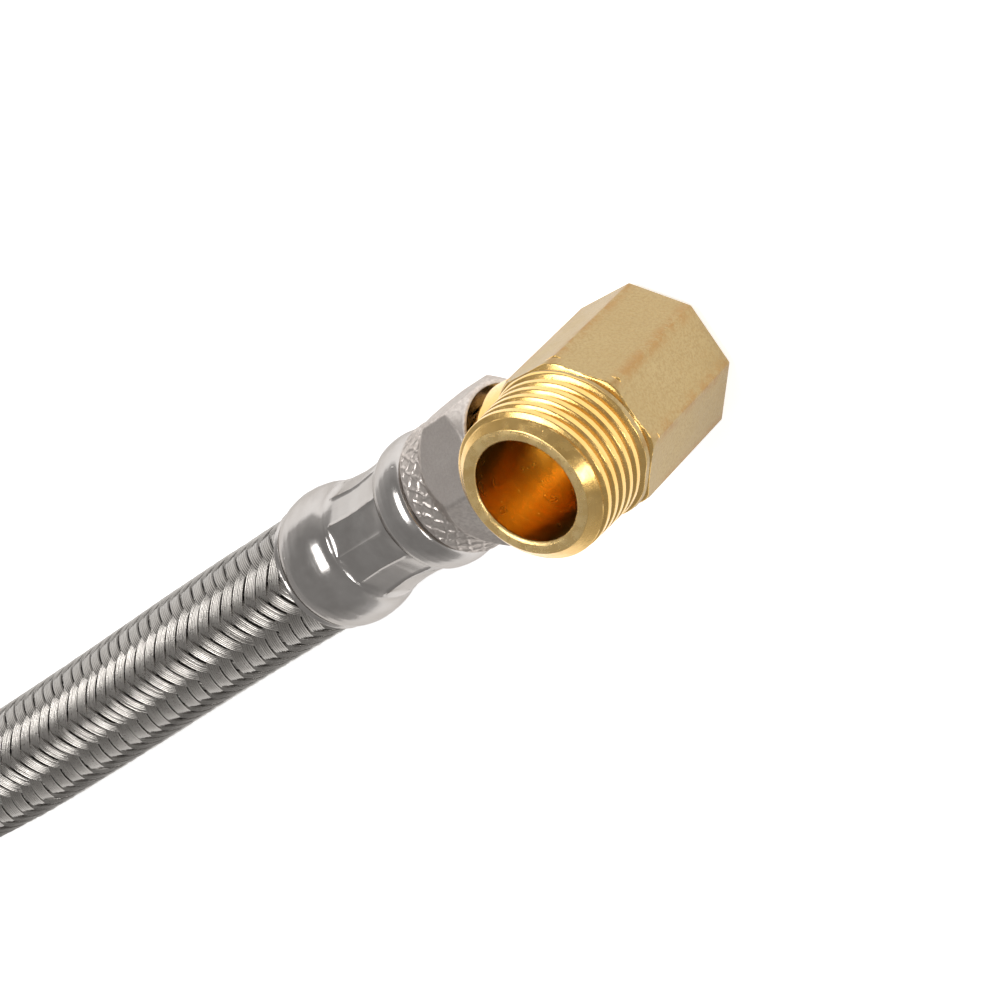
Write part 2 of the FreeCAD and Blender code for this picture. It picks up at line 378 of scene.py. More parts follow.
def faced_brass():
    """The faced-off end of the pipe thread, with sparkling rings from the cutter, and a colour paler than
    the turned brass as painted sheen.
    """
    finish = Finish("brass_faced", 1.0, 0.26, (0.88, 0.70, 0.36))
    fine = finish.lines(finish.from_z_axis(), 7000)
    cloud = finish.noise(600, 4)
    # Paler than the turned brass so that the flat ring looks lit: painted sheen
    base = finish.colours(cloud, (0.3, (0.94, 0.63, 0.24)), (0.7, (0.99, 0.73, 0.34)))
    finish.set("Base Color", base)
    finish.set("Roughness", finish.ranged(cloud, 0.3, 0.7, 0.2, 0.34))
    finish.bump(fine, 0.03)
    finish.bump(finish.noise(2200, 3), 0.02)
    return finish.material


def bore_brass():
    """The drilled bore: amber, as light meets the brass many times in it, with drill lines."""
    finish = Finish("brass_bore", 1.0, 0.22, (0.84, 0.60, 0.22))
    lines = finish.lines(finish.along("Z"), 2600)
    base = finish.colours(lines, (0.3, (0.84, 0.53, 0.145)), (0.7, (0.90, 0.61, 0.19)))
    finish.set("Base Color", base)
    finish.set("Roughness", finish.ranged(finish.noise(500, 3), 0.3, 0.7, 0.18, 0.28))
    finish.bump(lines, 0.02)
    return finish.material


def nut_steel():
    """Dull plated steel with fine marks round the part and a few nicks."""
    finish = Finish("nut_satin", 1.0, 0.38, (0.50, 0.46, 0.43), Specular_Tint=STEEL_EDGE)
    along = finish.along("X")
    fine = finish.lines(along, 4200)
    cloud = finish.noise(230, 4)
    grain = finish.noise(1700, 3, 0.7)
    base = finish.colours(cloud, (0.3, (0.55, 0.50, 0.46)), (0.7, (0.65, 0.60, 0.56)))
    base = finish.blended(finish.ranged(grain, 0.35, 0.65, 0, 0.45), base, (0.36, 0.32, 0.30))
    finish.set("Base Color", base)
    finish.set("Roughness", finish.ranged(grain, 0.3, 0.7, 0.34, 0.46))
    finish.bump(grain, 0.02)
    finish.bump(fine, 0.012)
    finish.bump(finish.scatter(160, 0.02, 0.09), 0.05)
    return finish.material


def nut_inside():
    """The nut's freshly cut inside, smoother than its outside."""
    finish = Finish("nut_inside", 1.0, 0.14, (0.5, 0.45, 0.4))
    grain = finish.noise(1200, 3)
    base = finish.colours(grain, (0.3, (0.45, 0.40, 0.35)), (0.7, (0.55, 0.50, 0.45)))
    finish.set("Base Color", base)
    finish.set("Roughness", finish.ranged(grain, 0.3, 0.7, 0.12, 0.22))
    finish.bump(finish.lines(finish.along("X"), 4000), 0.008)
    return finish.material


def ferrule_steel():
    """Bright drawn stainless with faint marks along it from the crimping jaws."""
    finish = Finish("ferrule_bright", 1.0, 0.2, (0.48, 0.455, 0.435), Specular_Tint=STEEL_EDGE)
    cloud = finish.noise(200, 4)
    scratch = finish.noise(900, 4, 0.7, (0.12, 1, 1))
    base = finish.colours(cloud, (0.3, (0.43, 0.405, 0.385)), (0.7, (0.53, 0.505, 0.485)))
    finish.set("Base Color", base)
    finish.set("Roughness", finish.ranged(cloud, 0.3, 0.7, 0.15, 0.24))
    finish.bump(scratch, 0.010)
    finish.bump(finish.noise(500, 3), 0.012)
    finish.bump(finish.scatter(260, 0.02, 0.07), 0.02)
    return finish.material


def braid_steel():
    """Fine drawn stainless wire, with painted shade in the hollows between the bundles."""
    finish = Finish("braid_wire", 1.0, 0.28, (0.62, 0.59, 0.56))
    cloud = finish.noise(300, 4)
    grain = finish.noise(2400, 2)
    base = finish.colours(cloud, (0.3, (0.32, 0.301, 0.280)), (0.7, (0.42, 0.398, 0.372)))
    # Hollows between and under the bundles are darkened to near black: painted shade
    hollow = finish.node("ShaderNodeNewGeometry").outputs["Pointiness"]
    painted_shade = finish.ranged(hollow, 0.42, 0.50, 0.85, 0)
    finish.set("Base Color", finish.blended(painted_shade, base, (0.07, 0.062, 0.055)))
    finish.set("Roughness", finish.ranged(grain, 0.3, 0.7, 0.26, 0.38))
    finish.bump(grain, 0.006)
    return finish.material


def liner_rubber():
    """Matt black rubber."""
    finish = Finish("liner_rubber", 0.0, 0.7, (0.02, 0.02, 0.02))
    grain = finish.noise(1200, 4)
    base = finish.colours(grain, (0.3, (0.012, 0.012, 0.012)), (0.7, (0.035, 0.033, 0.03)))
    finish.set("Base Color", base)
    finish.set("Roughness", finish.ranged(grain, 0.3, 0.7, 0.6, 0.8))
    finish.bump(grain, 0.03)
    return finish.material


def stem_steel():
    """Turned steel."""
    finish = Finish("stem_turned", 1.0, 0.25, (0.55, 0.53, 0.50))
    grain = finish.noise(1500, 4)
    base = finish.colours(grain, (0.3, (0.48, 0.46, 0.44)), (0.7, (0.62, 0.60, 0.57)))
    finish.set("Base Color", base)
    finish.set("Roughness", finish.ranged(grain, 0.3, 0.7, 0.2, 0.34))
    finish.bump(finish.lines(finish.along("X"), 3000), 0.01)
    return finish.material


def floor_white():
    """A white sweep, lit from below as product tables are."""
    glow = {"Emission_Color": (1, 1, 1, 1), "Emission_Strength": 0.66}
    return Finish("floor", 0.0, 0.9, (0.93, 0.93, 0.93), **glow).material


brass_rough = block_brass()
brass_cut = turned_brass()
brass_drilled = bore_brass()
brass_ring = faced_brass()
nut_finish = nut_steel()
nut_bore_finish = nut_inside()
ferrule_finish = ferrule_steel()
wire_finish = braid_steel()
rubber = liner_rubber()
stem_finish = stem_steel()


# ---- Elbow ----------------------------------------------------------------------------------

# Rise of a 60 degree thread's flank over its run
THREAD_SLOPE = math.sqrt(3)
PIPE_THREAD_DEPTH = 0.9
# How high the rounding in the thread's root is
ROOT_ROUND = 0.12
# Below this height the thread's floor climbs until it leaves the metal
RUN_OUT_START = 13.0
RUN_OUT_SLOPE = 0.53
# How far the block's corners slope in for each millimetre above its top
SHOULDER_SLOPE = 0.3
BLOCK_EDGE = 0.35
CORNER_ROUND = 0.45
# Width over which two turned surfaces blend, and how close to the groove counts as freshly cut
CUT_BLEND = 0.1
CUT_MARGIN = 0.03
# The block's sides are plain up to this height. Above it the rows are close enough for a thread
PLAIN_END = 7.5
THREAD_ROW_STEP = 0.075
# The flare port starts inside the block. A small face at its axis closes each end
PORT_START = 8.0
PORT_CAP_R = 0.3
# Finishes of the elbow, in the order of its material slots
ROUGH, CUT, DRILLED, RING = range(4)


def sector_angles():
    """Angles round the octagon, closer together at its corners."""
    side = [0.35, 0.75, 1.3, 2.4, 4.2, 7, 10, 13, 16, 19.2]  # degrees from a corner
    offsets = [-22.5] + [-a for a in reversed(side)] + [0] + side
    angles = [22.5 + 45 * i + offset for i in range(8) for offset in offsets]
    return np.radians(angles)


def octagon_radius(angles):
    """Radius of the block's outline, its corners slightly rounded."""
    flat = BLOCK_FLATS / 2
    from_corner = np.abs((angles - math.pi / 8) % (math.pi / 4))
    from_corner = np.minimum(from_corner, math.pi / 4 - from_corner)
    straight = flat / np.cos(math.pi / 8 - from_corner)
    centre = (flat - CORNER_ROUND) / math.cos(math.pi / 8)
    inside = np.maximum(CORNER_ROUND ** 2 - (centre * np.sin(from_corner)) ** 2, 0)
    rounded = centre * np.cos(from_corner) + np.sqrt(inside)
    half_turn = math.pi / 8
    limit = math.atan2(CORNER_ROUND * math.sin(half_turn), centre + CORNER_ROUND * math.cos(half_turn))
    return np.where(from_corner < limit, rounded, straight)


def groove(distance, angles, pitch, floor):
    """Radius of a V groove's surface that winds round a shaft as a right-hand thread."""
    turns = distance / pitch - angles / (2 * math.pi)
    offset = (turns - np.floor(turns) - 0.5) * pitch
    return np.sqrt((THREAD_SLOPE * offset) ** 2 + ROOT_ROUND ** 2) + floor


def elbow_outside(height, outline, angles):
    """Radius of the block and its pipe thread at one height, and the finish at each angle."""
    crest = PIPE_CREST_R + (PIPE_FACE - height) * PIPE_TAPER
    corner = outline.max()
    shoulder = corner - max(0.0, height - BLOCK_TOP) * SHOULDER_SLOPE
    solid = np.minimum(outline, shoulder)
    if height > BLOCK_TOP:
        solid = np.maximum(solid, crest)
    lead = PIPE_RIM_R + (PIPE_FACE - height)
    solid = smooth_min(solid, lead, CUT_BLEND)
    floor = crest - PIPE_THREAD_DEPTH + max(0.0, RUN_OUT_START - height) * RUN_OUT_SLOPE
    cut = groove(height, angles, PIPE_PITCH, floor)
    fresh = (cut < solid + CUT_MARGIN) | (height > RUN_OUT_START)
    return smooth_min(solid, cut, CUT_BLEND), np.where(fresh, CUT, ROUGH)


def make_elbow():
    """The block, its pipe thread and its pipe bore, turned round the Z axis."""
    angles = sector_angles()
    columns = len(angles)
    outline = octagon_radius(angles)
    flat = BLOCK_FLATS / 2
    rows = []
    for share in (0.05, 0.5):
        rows.append((BLOCK_BOTTOM, outline * share, ROUGH))
    for i in range(5):
        turn = math.radians(90 * i / 4)
        inset = BLOCK_EDGE * (1 - math.sin(turn))
        height = BLOCK_BOTTOM + BLOCK_EDGE * (1 - math.cos(turn))
        rows.append((height, outline * (1 - inset / flat), ROUGH))
    for height in np.linspace(BLOCK_BOTTOM + 2, PLAIN_END, 9):
        rows.append((height, outline, ROUGH))
    for height in np.arange(PLAIN_END + 0.3, PIPE_FACE, THREAD_ROW_STEP):
        radius, look = elbow_outside(height, outline, angles)
        rows.append((height, radius, look))
    # The faced ring and the bore's rounded mouth, as (radius, depth)
    rim = [(PIPE_RIM_R - 0.1, 0), (7.75, 0), (7.5, 0.03), (7.28, 0.14), (PIPE_BORE_R, 0.34)]
    for radius, depth in rim:
        rows.append((PIPE_FACE - depth, np.full(columns, radius), RING))
    for height in np.linspace(PIPE_FACE - 0.6, PIPE_BORE_FLOOR, 14):
        rows.append((height, np.full(columns, PIPE_BORE_R), DRILLED))
    for share in (0.6, 0.25, 0.04):
        depth = (1 - share) * PIPE_BORE_R / math.tan(DRILL_POINT)
        rows.append((PIPE_BORE_FLOOR - depth, np.full(columns, PIPE_BORE_R * share), DRILLED))

    points = np.concatenate([
        about_z(np.full(columns, height), radius, angles) for height, radius, _ in rows])
    faces = rings(len(rows), columns, closed=False)
    looks = np.stack([np.broadcast_to(look, columns) for _, _, look in rows])
    materials = [brass_rough, brass_cut, brass_drilled, brass_ring]
    return piece("elbow", points, list(faces) + caps(len(points), columns), materials,
                 list(looks[1:].reshape(-1)) + [ROUGH, DRILLED])


def make_flare_stub():
    """The male flare port: a round shoulder, one thread crest, a plain root and the 45 degree nose."""
    angles = np.linspace(0, 2 * math.pi, 160, endpoint=False)
    flank = (FLARE_THREAD_R - FLARE_CORE_R) / THREAD_SLOPE
    rows = [
        (PORT_START, PORT_CAP_R),
        (PORT_START, FLARE_SHOULDER_R - 0.3),
        (PORT_START + 0.3, FLARE_SHOULDER_R),
        (FLARE_SHOULDER_END - FLARE_SHOULDER_EDGE, FLARE_SHOULDER_R),
        (FLARE_SHOULDER_END - 0.12, FLARE_SHOULDER_R - FLARE_SHOULDER_EDGE + 0.12),
        (FLARE_SHOULDER_END, FLARE_SHOULDER_R - FLARE_SHOULDER_EDGE - 0.05),
        (FLARE_SHOULDER_END, FLARE_CORE_R),
        (FLARE_CREST_START - flank, FLARE_CORE_R),
        (FLARE_CREST_START, FLARE_THREAD_R - 0.05),
        (FLARE_CREST_START + 0.06, FLARE_THREAD_R),
        (FLARE_CREST_END - 0.06, FLARE_THREAD_R),
        (FLARE_CREST_END, FLARE_THREAD_R - 0.05),
        (FLARE_CREST_END + flank, FLARE_CORE_R),
        (FLARE_CONE_START, FLARE_CORE_R),
        (FLARE_NOSE, FLARE_NOSE_R),
        (FLARE_NOSE, PORT_CAP_R),
    ]
    distance = np.array([row[0] for row in rows])
    radius = np.stack([np.full(len(angles), row[1]) for row in rows])
    points = about_x(distance, radius, angles)
    faces = list(rings(len(rows), len(angles), closed=False)) + caps(len(points), len(angles))
    stub = piece("stub", points, faces, [brass_rough, brass_cut, brass_drilled], [CUT] * len(faces))
    place(stub, Vector((0, 0, 0)), -X_AXIS)
    return stub


def cross_bore():
    """The tool that drills the flare port through into the pipe bore."""
    columns = 64
    angles = np.linspace(0, 2 * math.pi, columns, endpoint=False)
    points = about_x([0.0, FLARE_NOSE + 2], FLARE_BORE_R, angles)
    faces = list(rings(2, columns, closed=False)) + caps(len(points), columns)
    drill = piece("drill", points, faces, [brass_rough, brass_cut, brass_drilled], [DRILLED] * len(faces))
    place(drill, Vector((0, 0, 0)), -X_AXIS)
    return drill


elbow = make_elbow()
boolean(elbow, make_flare_stub(), "UNION")
boolean(elbow, cross_bore(), "DIFFERENCE")
elbow.data.shade_smooth()
elbow.data.set_sharp_from_angle(angle=math.radians(38))
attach(elbow, "elbow")
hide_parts("elbow_body")


# ---- Nuts -----------------------------------------------------------------------------------

NUT_COLUMNS = 480
# The band's ridges, and how far in from its ends they fade away
KNURL_TURNS = 27
KNURL_RISE = 2.4
KNURL_HEIGHT = 0.22
KNURL_DRIFT = 0.7
KNURL_INSET = 0.35
KNURL_FADE_IN = 0.3
KNURL_FADE_OUT = 0.9
RIDGE_WIDTH = 0.2
BAND_SLOPE_LENGTH = 3.1
# Widths over which the hexagon blends into its corners and rear slope, and into its front slope
REAR_BLEND = 0.12
FRONT_BLEND = 0.15
NUT_THREAD_DEPTH = 0.62
# The front face's two edges, and the cone inside it, lie this much nearer the axis than in the CAD
LIP_INSET = 0.12
CONE_INSET = 0.1


def hexagon_radius(angles):
    """Radius of the nut's six flats."""
    from_flat = (angles - NUT_TURN + math.pi / 6) % (math.pi / 3) - math.pi / 6
    return NUT_FLATS / 2 / np.cos(from_flat)


def knurl(distance, angles):
    """Height of the raised, crossing and slightly uneven ridges on the nut's band."""
    drift = KNURL_DRIFT * waves(angles, distance, seed=3, low=5, high=17)
    first = KNURL_TURNS * angles / (2 * math.pi) + (distance + drift) / KNURL_RISE
    second = KNURL_TURNS * angles / (2 * math.pi) - (distance - drift) / KNURL_RISE
    ridge = 0
    for turns in (first, second):
        offset = np.abs(turns - np.round(turns))
        ridge = np.maximum(ridge, np.clip(1 - offset / RIDGE_WIDTH, 0, 1))
    swell = 0.75 + 0.35 * waves(angles, distance, seed=9, low=5, high=17)
    return KNURL_HEIGHT * swell * (ridge * ridge * (3 - 2 * ridge))


def nut_outside(distance, angles):
    """Radius of the hexagon, its turned ends and its knurled band at one distance."""
    radius = smooth_min(hexagon_radius(angles), NUT_CORNER_R, REAR_BLEND)
    rear_slope = (NUT_CORNER_R - NUT_BAND_R) / BAND_SLOPE_LENGTH
    rear = NUT_BAND_R + max(0.0, distance - NUT_BAND_END) * rear_slope
    front_slope = (NUT_CORNER_R - NUT_FRONT_R) / (NUT_FRONT - NUT_CHAMFER)
    front = NUT_CORNER_R + (NUT_CHAMFER - distance) * front_slope
    radius = smooth_min(radius, rear, REAR_BLEND)
    radius = smooth_min(radius, front, FRONT_BLEND)
    edge = min(1.0, max(0.0, (distance - NUT_REAR - KNURL_INSET) / KNURL_FADE_IN))
    edge *= min(1.0, max(0.0, (NUT_BAND_END + KNURL_FADE_OUT - distance) / KNURL_FADE_OUT))
    if edge > 0:
        radius = radius + edge * knurl(distance, angles)
    return radius


def outer_rows(angles):
    """(distance, radius) rings over the nut's outside, from its rear hole towards its front."""
    rows = [
        (NUT_REAR, NUT_REAR_HOLE_R),
        (NUT_REAR, NUT_BAND_R - 0.35),
        (NUT_REAR + 0.1, NUT_BAND_R - 0.1),
    ]
    # Close together over the band and its slope, wide apart over the flats, close at the front
    distances = np.concatenate([
        np.arange(NUT_REAR + 0.25, 36.2, 0.1),
        np.arange(36.4, NUT_CHAMFER - 0.5, 0.6),
        np.arange(NUT_CHAMFER - 0.4, NUT_FRONT - 0.05, 0.12),
    ])
    return rows + [(distance, nut_outside(distance, angles)) for distance in distances]


def inner_rows(angles):
    """(distance, radius) rings from the nut's front face through its thread to its seat."""
    rows = [(NUT_FRONT, NUT_FRONT_R - LIP_INSET), (NUT_FRONT, NUT_MOUTH_R - LIP_INSET)]
    thread_mouth = NUT_FRONT - (NUT_MOUTH_R - NUT_THREAD_R)
    step = 0.1
    for distance in np.arange(NUT_FRONT - step, NUT_THREAD_START, -step):
        cone = NUT_THREAD_R + max(0.0, distance - thread_mouth - CONE_INSET)
        turns = distance / FLARE_PITCH - angles / (2 * math.pi)
        offset = np.abs(turns - np.round(turns)) * FLARE_PITCH
        thread = NUT_THREAD_R + np.clip(NUT_THREAD_DEPTH - THREAD_SLOPE * offset, 0, NUT_THREAD_DEPTH)
        rows.append((distance, np.maximum(cone, thread)))
    rows += [
        (NUT_THREAD_START, NUT_RELIEF_R),
        (NUT_SEAT, NUT_RELIEF_R),
        (NUT_SEAT - (NUT_RELIEF_R - NUT_REAR_HOLE_R), NUT_REAR_HOLE_R),
    ]
    return rows


def make_nut(name, origin, direction, body, node):
    """One swivel nut, standing on a corner of its hexagon."""
    angles = np.linspace(0, 2 * math.pi, NUT_COLUMNS, endpoint=False)
    outer = outer_rows(angles)
    rows = outer + inner_rows(angles)
    distance = np.array([row[0] for row in rows])
    radius = np.stack([np.broadcast_to(row[1], NUT_COLUMNS) for row in rows])
    points = about_x(distance, radius, angles)
    # The front face's two rings still belong to the outside
    outside = len(outer) + 2
    look = np.repeat(np.where(np.arange(len(rows)) < outside, 0, 1), NUT_COLUMNS)
    faces = rings(len(rows), NUT_COLUMNS, closed=True)
    nut = piece(name, points, faces, [nut_finish, nut_bore_finish], look, crease=40)
    place(nut, origin, direction)
    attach(nut, body)
    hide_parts(node)
    return nut


make_nut("flare_nut_near", hose_exit, lean_axis, "near_nut", "flare_nut")
far_nut = make_nut("flare_nut_far", route[-1], far_axis, "end_nut", "end_flare_nut")


# ---- Ferrules -------------------------------------------------------------------------------

FERRULE_COLUMNS = 288
JAWS = 12
JAW_TURN = math.radians(20)
NECK_START = 11.4
NECK_END = 22.3
# Where in its half angle a jaw's facet stands at the neck's own radius
JAW_PRESS = 0.72
# The raised line left between two jaws
JAW_LINE_HEIGHT = 0.12
JAW_LINE_WIDTH = math.radians(1.3)
# The facets fade in and out over these lengths
FACET_FADE_IN = 0.6
FACET_FADE_OUT = 1.5
BEAD_DENT = 0.04
NECK_DENT = 0.02
COLLAR_END = 28.2
# The ferrule's hole is drawn this much wider than the stem
STEM_GAP = 0.02

# The ferrule's outline, as (distance from the hose's exit, radius): the bead over the hose, the
# crimped neck, and the rolled collar that the nut turns against
bead = [(0.0, 9.3), (0.12, 9.46), (0.4, 9.5), (0.85, 9.33), (1.2, 9.4), (1.7, 9.72), (2.4, 9.98),
        (3.4, 10.2), (4.6, 10.29), (5.6, 10.24), (6.6, 10.12), (7.6, 9.94), (8.3, 9.74), (8.8, 9.54),
        (9.3, 9.31), (9.8, 9.14), (10.3, 9.05), (10.9, 9.01), (11.15, 8.94)]
neck = [(11.35, 8.72), (11.6, 8.58), (12.2, 8.48), (13.5, 8.33), (16.0, 8.15), (18.0, 8.2),
        (20.0, 8.4), (22.0, 8.68)]
collar = [(22.3, 8.95), (22.7, 9.3), (23.6, 9.68), (24.8, 9.86), (26.0, 9.88), (27.0, 9.72),
          (27.7, 9.4), (28.1, 9.0), (COLLAR_END, 8.6)]


def profile(stops, step):
    """Points at even steps along the straight lines between the stops."""
    where = np.array([stop[0] for stop in stops])
    value = np.array([stop[1] for stop in stops])
    count = max(2, int((where[-1] - where[0]) / step))
    fine = np.linspace(where[0], where[-1], count)
    return list(zip(fine, np.interp(fine, where, value)))


def jaw_marks(angles):
    """How the neck's facets and the raised lines between them change its radius."""
    from_middle = (angles - JAW_TURN) % (2 * math.pi / JAWS) - math.pi / JAWS
    flat = np.cos(math.pi / JAWS * JAW_PRESS) / np.cos(from_middle)
    edge = math.pi / JAWS - np.abs(from_middle)
    line = JAW_LINE_HEIGHT * np.exp(-(edge / JAW_LINE_WIDTH) ** 2)
    return flat, line


def make_ferrule(name, origin, direction, node):
    """One crimped ferrule: its outline outside, and the steps of the hose and stem inside."""
    angles = np.linspace(0, 2 * math.pi, FERRULE_COLUMNS, endpoint=False)
    facets, lines = jaw_marks(angles)
    rows = []
    for distance, radius in profile(bead, 0.2):
        dent = BEAD_DENT * waves(angles, distance, seed=21, low=2, high=8)
        rows.append((distance, radius + dent))
    for distance, radius in profile(neck, 0.3):
        fade = min(1.0, (NECK_END - distance) / FACET_FADE_OUT, (distance - NECK_START) / FACET_FADE_IN)
        mark = facets * fade + (1 - fade)
        dent = NECK_DENT * waves(angles, distance, seed=33)
        rows.append((distance, radius * mark + lines * fade + dent))
    for distance, radius in profile(collar, 0.2):
        rows.append((distance, np.full(FERRULE_COLUMNS, radius)))
    hole = STEM_SHANK_R + STEM_GAP
    inside = [(COLLAR_END, hole), (STEM_SHOULDER, hole), (STEM_SHOULDER, CRIMP_R),
              (CRIMP_START, CRIMP_R), (SWELL_END, HOSE_R), (0.3, HOSE_R), (0.0, HOSE_R + 0.05)]
    rows += [(distance, np.full(FERRULE_COLUMNS, radius)) for distance, radius in inside]
    distance = np.array([row[0] for row in rows])
    radius = np.stack([row[1] for row in rows])
    points = about_x(distance, radius, angles)
    faces = rings(len(rows), FERRULE_COLUMNS, closed=True)
    ferrule = piece(name, points, faces, [ferrule_finish], crease=28)
    place(ferrule, origin, direction)
    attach(ferrule, "hose")
    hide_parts(node)
    return ferrule


make_ferrule("ferrule_near", hose_exit, lean_axis, "crimp_ferrule")
far_ferrule = make_ferrule("ferrule_far", route[-1], far_axis, "end_ferrule")


# ---- Hose -----------------------------------------------------------------------------------

def centre_line(points):
    """Points read from the smooth curve that the route controls, in metres."""
    curve = bpy.data.curves.new("route", "CURVE")
    curve.dimensions = "3D"
    spline = curve.splines.new("NURBS")
    spline.points.add(len(points) - 1)
    for point, corner in zip(spline.points, points):
        point.co = (*(corner * MM), 1)
    spline.order_u = 3
    spline.use_endpoint_u = True
    spline.resolution_u = 24
    carrier = bpy.data.objects.new("route", curve)
    bpy.context.scene.collection.objects.link(carrier)
    bpy.context.view_layer.update()
    graph = bpy.context.evaluated_depsgraph_get()
    mesh = bpy.data.meshes.new_from_object(carrier.evaluated_get(graph))
    line = np.array([vertex.co for vertex in mesh.vertices])
    bpy.data.objects.remove(carrier)
    bpy.data.meshes.remove(mesh)
    return line


line = centre_line(route)
steps = np.linalg.norm(np.diff(line, axis=0), axis=1)
travel = np.concatenate([[0], np.cumsum(steps)]) / MM
hose_length = travel[-1]
# How far the braid and the liner run on inside each ferrule
TUCK = 5.0


def at_travel(distance):
    """Points of the centre line at distances along it, in millimetres."""
    return np.stack([np.interp(distance, travel, line[:, axis] / MM) for axis in range(3)], axis=-1)


def along_hose(distance):
    """Centre, sideways and upward directions at distances from the near end, in millimetres."""
    centre = at_travel(distance)
    step = 0.5
    tangent = at_travel(distance + step) - at_travel(distance - step)
    first = (line[1] - line[0]) / MM
    last = (line[-1] - line[-2]) / MM
    first = first / np.linalg.norm(first)
    last = last / np.linalg.norm(last)
    before = np.minimum(distance, 0)[:, None]
    after = np.maximum(distance - hose_length, 0)[:, None]
    centre = centre + before * first + after * last
    tangent = np.where(distance[:, None] < step, first, tangent)
    tangent = np.where(distance[:, None] > hose_length - step, last, tangent)
    tangent = tangent / np.linalg.norm(tangent, axis=1)[:, None]
    level = np.array([0.0, 0.0, 1.0])
    side = np.cross(level, tangent)
    side = side / np.linalg.norm(side, axis=1)[:, None]
    up = np.cross(tangent, side)
    return centre, side, up


def on_hose(distance, radius, angle):
    """Points round the hose at distances along it."""
    centre, side, up = along_hose(distance)
    return centre + radius[:, None] * (np.cos(angle)[:, None] * side + np.sin(angle)[:, None] * up)


# Bundles wound each way, and how far one goes round the hose for each millimetre along it
CARRIERS = 12
BRAID_SLOPE = 1.66
WIND = BRAID_SLOPE / HOSE_R
# Each bundle is a strip whose cross-section has this many round wires, and points for each wire
WIRES = 6
WIRE_POINTS = 4
WIRE_RELIEF = 0.145
BUNDLE_WIDTH = 2.06
BUNDLE_DEPTH = 0.12
# A bundle rises and sinks about this layer. Over two and under two repeats this often in a turn
LAYER_R = HOSE_R - 0.40
LINER_SINK = 0.33
WAVE = 0.19
WEAVES = CARRIERS // 2
WEAVE_SHARPNESS = 2.2
# Turn between one cross-section of a bundle and the next
SECTION_STEP = math.radians(4.5)
# Angles in radians: where the rows of crossings lie, and how each hand's bundles are set to them
ROW_TURN = math.radians(31)
QUARTER_GAP = math.pi / (2 * CARRIERS)
HAND_OFFSET = 0.13
# How far a bundle wanders sideways, and how far its wires swell
SWAY = 0.10
BULGE = 0.035


def bundle(index, hand, rng):
    """One ribbon of parallel wires that winds along the hose, over two crossing ribbons and under two."""
    across = WIRE_POINTS * WIRES + 1
    length = hose_length + 2 * TUCK
    count = int(length * WIND / SECTION_STEP)
    distance = np.linspace(-TUCK, hose_length + TUCK, count)
    start = 2 * math.pi * index / CARRIERS + ROW_TURN - QUARTER_GAP + hand * HAND_OFFSET
    turn = start + hand * WIND * distance
    weave = np.cos(WEAVES * (turn - ROW_TURN))
    lift = hand * WAVE * np.tanh(WEAVE_SHARPNESS * weave) / math.tanh(WEAVE_SHARPNESS)
    sway = SWAY * np.sin(turn * rng.uniform(0.8, 1.4) + rng.uniform(0, 6.28))
    slope = math.atan(WIND * LAYER_R)
    swells = [(rng.uniform(0.4, 1.1), rng.uniform(0, 6.28)) for _ in range(WIRES)]
    ring = []
    for i in range(across):
        offset = (i / (across - 1) - 0.5) * BUNDLE_WIDTH
        wire = min(i // WIRE_POINTS, WIRES - 1)
        pace, phase = swells[wire]
        from_crest = 2 * (i % WIRE_POINTS) / WIRE_POINTS - 1
        crest = WIRE_RELIEF * (1 - from_crest ** 2)
        bulge = BULGE * np.sin(turn * pace * 3 + phase)
        ring.append((offset + sway, LAYER_R + lift + crest + bulge))
    for offset in (0.5, -0.5):
        ring.append((offset * BUNDLE_WIDTH + sway, LAYER_R + lift - BUNDLE_DEPTH))
    strips = []
    for side, radius in ring:
        shifted = distance - hand * side * math.sin(slope)
        strips.append(on_hose(shifted, radius, turn + side * math.cos(slope) / LAYER_R))
    grid = np.stack(strips, axis=1)
    faces = rings(count, len(ring), closed=False)
    if hand > 0:
        faces = faces[:, ::-1]
    return grid.reshape(-1, 3), faces


def make_braid():
    """All the bundles, wound both ways, in one mesh."""
    rng = np.random.default_rng(seed=5)
    points = []
    faces = []
    total = 0
    across = WIRE_POINTS * WIRES + 3
    for hand in (1, -1):
        for index in range(CARRIERS):
            strip, quads = bundle(index, hand, rng)
            ends = [list(range(across)), list(range(len(strip) - 1, len(strip) - across - 1, -1))]
            points.append(strip)
            faces += (quads + total).tolist()
            faces += [[corner + total for corner in end] for end in ends]
            total += len(strip)
    return piece("hose_braid_wires", np.concatenate(points), faces, [wire_finish], crease=75)


def make_core():
    """The rubber liner under the braid."""
    columns = 48
    angles = np.linspace(0, 2 * math.pi, columns, endpoint=False)
    outer = np.linspace(-TUCK, hose_length + TUCK, 160)
    sections = [(outer, LAYER_R - LINER_SINK), (outer[::-1], LINER_BORE_R)]
    points = []
    for distances, radius in sections:
        for distance in distances:
            points.append(on_hose(np.full(columns, distance), np.full(columns, radius), angles))
    faces = rings(len(points), columns, closed=True)
    return piece("hose_liner_tube", np.concatenate(points), faces, [rubber], crease=50)


braid = make_braid()
core = make_core()
for part, name, node in ((braid, "braid_steel", "hose_braid"), (core, "liner_rubber", "hose_liner")):
    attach(part, "hose")
    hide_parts(node)

for node in ("hose_stem", "end_stem"):
    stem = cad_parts[node]
    stem.data.materials.clear()
    stem.data.materials.append(stem_finish)


# ---- Floor, light and camera ----------------------------------------------------------------

# The floor is just clear of the nuts' lowest corners
FLOOR = -NUT_CORNER_R - 0.02
LIGHT_TARGET = Vector((-30, -4, 0))
# The camera looks down at a point level with the fitting, turned about its own line of sight
CAMERA_TARGET = Vector((-26.632, -5.188, 0))
CAMERA_DISTANCE = 474.3
CAMERA_AZIMUTH = math.radians(14.2753)
CAMERA_HEIGHT = math.radians(46.4072)
CAMERA_ROLL = math.radians(-135.3399)


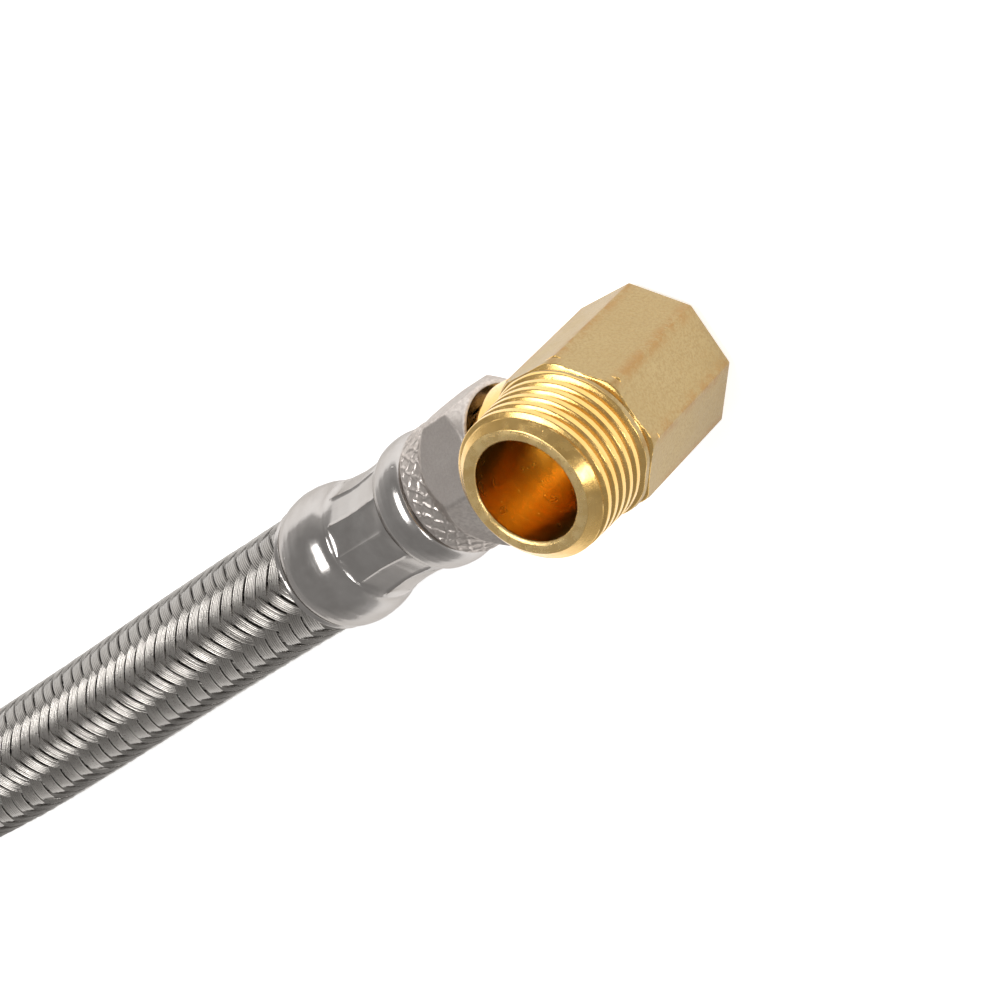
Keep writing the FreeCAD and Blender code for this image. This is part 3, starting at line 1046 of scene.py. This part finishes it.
def make_floor():
    """The level that the nuts rest on."""
    size = 3000
    corners = [(-size, -size, FLOOR), (size, -size, FLOOR), (size, size, FLOOR), (-size, size, FLOOR)]
    floor = piece("floor", corners, [(0, 1, 2, 3)], [floor_white()])


def soft_light(name, direction, distance, width, height, power):
    """A soft box that faces the fitting from a direction. Its sizes are in millimetres."""
    light = bpy.data.lights.new(name, "AREA")
    light.shape = "RECTANGLE"
    light.size = width * MM
    light.size_y = height * MM
    light.energy = power
    lamp = bpy.data.objects.new(name, light)
    direction = Vector(direction).normalized()
    lamp.location = (LIGHT_TARGET + direction * distance) * MM
    lamp.rotation_mode = "QUATERNION"
    lamp.rotation_quaternion = direction.to_track_quat("Z", "Y")
    bpy.context.scene.collection.objects.link(lamp)


def make_camera():
    """A long lens, at the chosen viewing angle."""
    camera = bpy.data.cameras.new("camera")
    camera.lens = 127.30
    camera.sensor_width = 36
    camera.clip_start = 0.01
    camera.clip_end = 20
    eye = bpy.data.objects.new("camera", camera)
    level = math.cos(CAMERA_HEIGHT)
    back = Vector((
        level * math.cos(CAMERA_AZIMUTH), level * math.sin(CAMERA_AZIMUTH), math.sin(CAMERA_HEIGHT)))
    turn = back.to_track_quat("Z", "Y").to_matrix().to_4x4() @ Matrix.Rotation(CAMERA_ROLL, 4, "Z")
    eye.matrix_world = Matrix.Translation((CAMERA_TARGET + back * CAMERA_DISTANCE) * MM) @ turn
    bpy.context.scene.collection.objects.link(eye)
    bpy.context.scene.camera = eye


def make_world():
    """A pale studio, brightest low down and dimmer overhead."""
    world = bpy.data.worlds.new("studio")
    world.use_nodes = True
    nodes = world.node_tree.nodes
    links = world.node_tree.links
    where = nodes.new("ShaderNodeTexCoord")
    parts = nodes.new("ShaderNodeSeparateXYZ")
    level = nodes.new("ShaderNodeMapRange")
    level.interpolation_type = "SMOOTHSTEP"
    for socket, number in (("From Min", 0.0), ("From Max", 0.5), ("To Min", 0.60), ("To Max", 0.35)):
        level.inputs[socket].default_value = number
    links.new(where.outputs["Generated"], parts.inputs[0])
    links.new(parts.outputs["Z"], level.inputs["Value"])
    links.new(level.outputs["Result"], nodes["Background"].inputs["Strength"])
    nodes["Background"].inputs["Color"].default_value = (1, 0.99, 0.98, 1)
    bpy.context.scene.world = world


make_floor()
soft_light("key", (0.03, 0.43, 0.90), 500, 200, 340, 1.48)
soft_light("front", (0.69, -0.33, 0.64), 500, 110, 110, 0.30)
make_camera()
make_world()
bpy.context.scene.view_settings.view_transform = "Standard"
